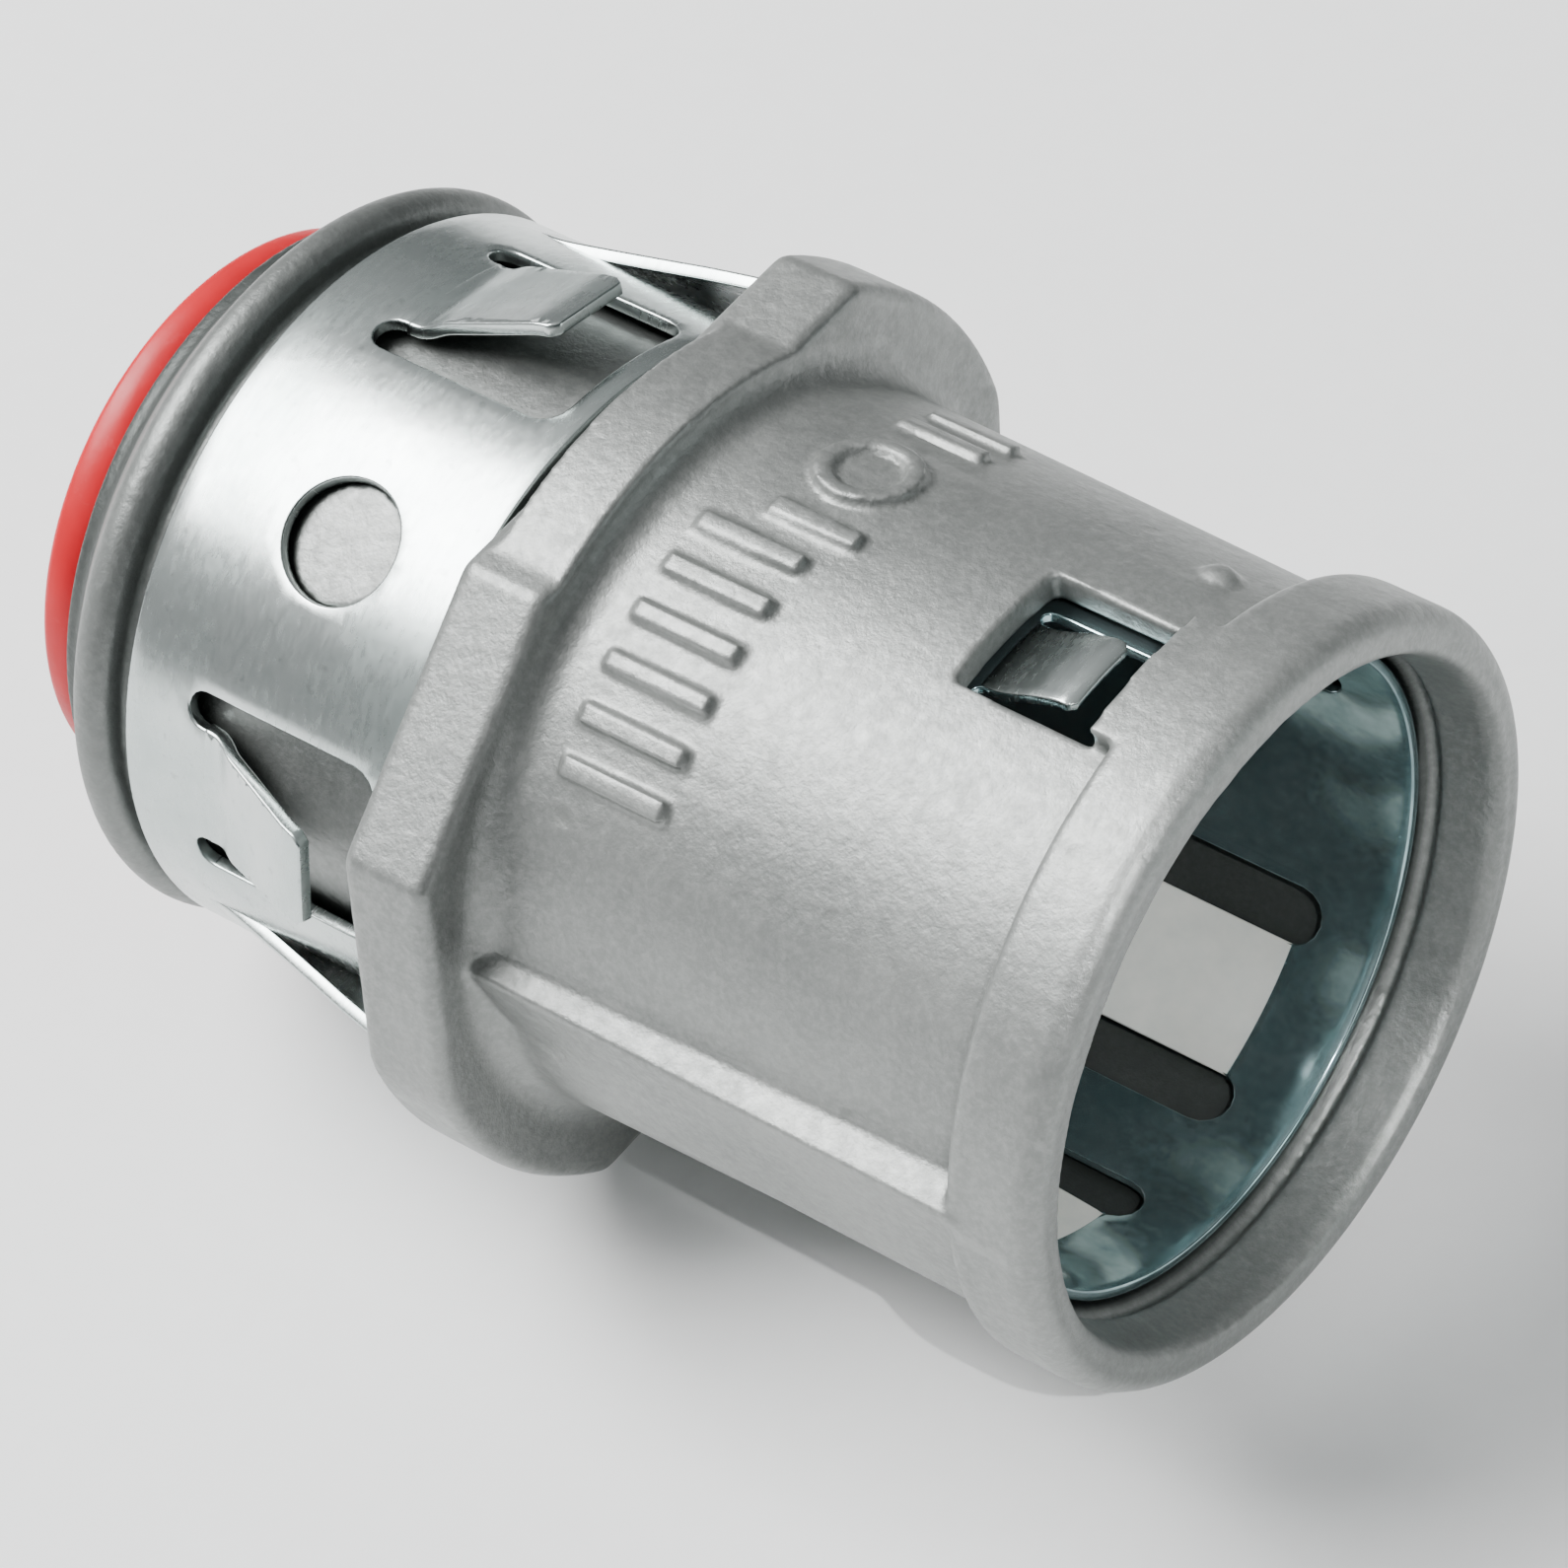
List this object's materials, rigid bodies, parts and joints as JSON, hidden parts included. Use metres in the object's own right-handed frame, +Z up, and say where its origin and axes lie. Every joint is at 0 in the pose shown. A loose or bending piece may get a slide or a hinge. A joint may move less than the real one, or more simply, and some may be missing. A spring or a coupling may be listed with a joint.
{
  "type": "snap-in conduit connector",
  "caption": "Cast connector that snaps into an electrical box knockout with a sprung steel ring, grips plain thin-wall conduit in a sprung clip and has a red insulated throat.",
  "frame": {"origin": "middle of the bounding box in X and Y, at its lowest point, which is the tip of the lowest snap tang", "axes": "+X along the bore, from the box end towards the conduit mouth; +Z up through the lock window and the flange's clearance flat; +Y to the side"},
  "size_m": [0.0366, 0.0262, 0.0248],
  "materials": {
    "cast_zinc": "fine-grained matt as-cast zinc alloy, light grey",
    "ring_steel": "bright zinc-plated spring steel with a faint rolled grain",
    "clip_steel": "very shiny zinc-plated spring steel",
    "red_plastic": "smooth red moulded plastic"
  },
  "bodies": {
    "body_assembly": {"connector_body": "cast_zinc", "snap_ring": "ring_steel", "conduit_clip": "clip_steel", "throat_bushing": "red_plastic"},
    "snap_tang_1": {"snap_tang_1": "ring_steel"},
    "snap_tang_2": {"snap_tang_2": "ring_steel"},
    "snap_tang_3": {"snap_tang_3": "ring_steel"},
    "snap_tang_4": {"snap_tang_4": "ring_steel"},
    "ramp_tang_1": {"ramp_tang_1": "ring_steel"},
    "ramp_tang_2": {"ramp_tang_2": "ring_steel"},
    "clip_finger_1": {"clip_finger_1": "clip_steel"},
    "clip_finger_2": {"clip_finger_2": "clip_steel"},
    "clip_finger_3": {"clip_finger_3": "clip_steel"},
    "clip_finger_4": {"clip_finger_4": "clip_steel"},
    "clip_lock_tab": {"clip_lock_tab": "clip_steel"}
  },
  "joints": [
    {"name": "snap_tang_1_flex", "type": "hinge", "parent": "body_assembly", "child": "snap_tang_1", "pos_m": [-0.00985, 0.00229, 0.02275], "axis": [0, 0.9763, -0.2164], "range_deg": [0, 16], "stiffness_Nm_per_rad": 1},
    {"name": "snap_tang_2_flex", "type": "hinge", "parent": "body_assembly", "child": "snap_tang_2", "pos_m": [-0.00985, -0.01035, 0.01469], "axis": [0, 0.2164, 0.9763], "range_deg": [0, 16], "stiffness_Nm_per_rad": 1},
    {"name": "snap_tang_3_flex", "type": "hinge", "parent": "body_assembly", "child": "snap_tang_3", "pos_m": [-0.00985, -0.00229, 0.00205], "axis": [0, -0.9763, 0.2164], "range_deg": [0, 16], "stiffness_Nm_per_rad": 1},
    {"name": "snap_tang_4_flex", "type": "hinge", "parent": "body_assembly", "child": "snap_tang_4", "pos_m": [-0.00985, 0.01035, 0.0101], "axis": [0, -0.2164, -0.9763], "range_deg": [0, 16], "stiffness_Nm_per_rad": 1},
    {"name": "ramp_tang_1_flex", "type": "hinge", "parent": "body_assembly", "child": "ramp_tang_1", "pos_m": [-0.01115, 0.00894, 0.01809], "axis": [0, 0.5373, -0.8434], "range_deg": [0, 8], "stiffness_Nm_per_rad": 1.5},
    {"name": "ramp_tang_2_flex", "type": "hinge", "parent": "body_assembly", "child": "ramp_tang_2", "pos_m": [-0.01115, -0.00894, 0.0067], "axis": [0, -0.5373, 0.8434], "range_deg": [0, 8], "stiffness_Nm_per_rad": 1.5},
    {"name": "clip_finger_1_flex", "type": "hinge", "parent": "body_assembly", "child": "clip_finger_1", "pos_m": [0.0134, 0.00784, 0.0172], "axis": [0, 0.5225, -0.8526], "range_deg": [0, 6], "stiffness_Nm_per_rad": 0.6},
    {"name": "clip_finger_2_flex", "type": "hinge", "parent": "body_assembly", "child": "clip_finger_2", "pos_m": [0.0134, -0.00784, 0.0172], "axis": [0, 0.5225, 0.8526], "range_deg": [0, 6], "stiffness_Nm_per_rad": 0.6},
    {"name": "clip_finger_3_flex", "type": "hinge", "parent": "body_assembly", "child": "clip_finger_3", "pos_m": [0.0134, -0.00481, 0.00455], "axis": [0, -0.8526, 0.5225], "range_deg": [0, 6], "stiffness_Nm_per_rad": 0.6},
    {"name": "clip_finger_4_flex", "type": "hinge", "parent": "body_assembly", "child": "clip_finger_4", "pos_m": [0.0134, 0.00481, 0.00455], "axis": [0, -0.8526, -0.5225], "range_deg": [0, 6], "stiffness_Nm_per_rad": 0.6},
    {"name": "clip_lock_tab_flex", "type": "hinge", "parent": "body_assembly", "child": "clip_lock_tab", "pos_m": [0.0106, 0, 0.0216], "axis": [0, 1, 0], "range_deg": [0, 15], "stiffness_Nm_per_rad": 0.3}
  ]
}
